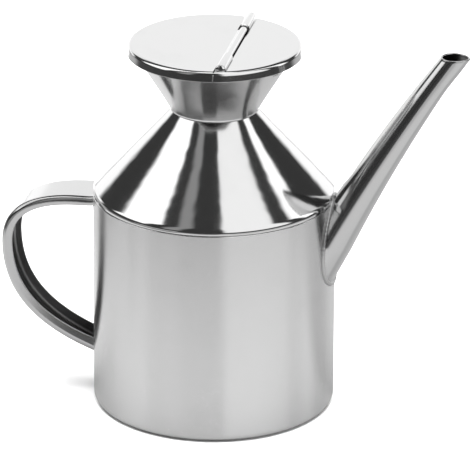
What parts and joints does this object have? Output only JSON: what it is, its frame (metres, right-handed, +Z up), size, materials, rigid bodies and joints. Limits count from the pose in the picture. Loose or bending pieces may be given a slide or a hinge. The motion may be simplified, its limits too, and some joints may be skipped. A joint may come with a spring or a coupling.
{
  "type": "oil cruet",
  "caption": "Stainless steel oil cruet: cylindrical cup with conical shoulder, funnel mouth under a hinged flap lid, long tapered spout and open channel handle.",
  "frame": {"origin": "centre of the flat base, on the surface that the cruet stands on", "axes": "+Z up the cup's axis, +X towards the spout, handle towards -X, hinge line along Y"},
  "size_m": [0.1668, 0.086, 0.1365],
  "materials": {
    "satin_steel": "stainless sheet, satin polished round the cup",
    "mirror_steel": "stainless sheet, mirror polished",
    "lid_steel": "stainless sheet, bright polished, flat",
    "wire_steel": "drawn stainless wire",
    "spout_steel": "stainless tube, polished along its length",
    "handle_steel": "pressed stainless channel, polished outside",
    "weld_steel": "dressed weld bead, duller than the sheet"
  },
  "bodies": {
    "vessel": {"body_cup": "satin_steel", "shoulder_cone": "mirror_steel", "filler_funnel": "mirror_steel", "lid_fixed_plate": "lid_steel", "spout": "spout_steel", "spout_weld": "weld_steel", "handle": "handle_steel", "handle_weld_upper": "weld_steel", "handle_weld_lower": "weld_steel", "lid_tack_front": "weld_steel", "lid_tack_rear": "weld_steel"},
    "lid": {"lid_flap": "lid_steel", "hinge_wire": "wire_steel"}
  },
  "joints": [
    {"name": "lid_hinge", "type": "hinge", "parent": "vessel", "child": "lid", "pos_m": [0.0075, 0, 0.13465], "axis": [0, 1, 0], "range_deg": [0, 175]}
  ]
}
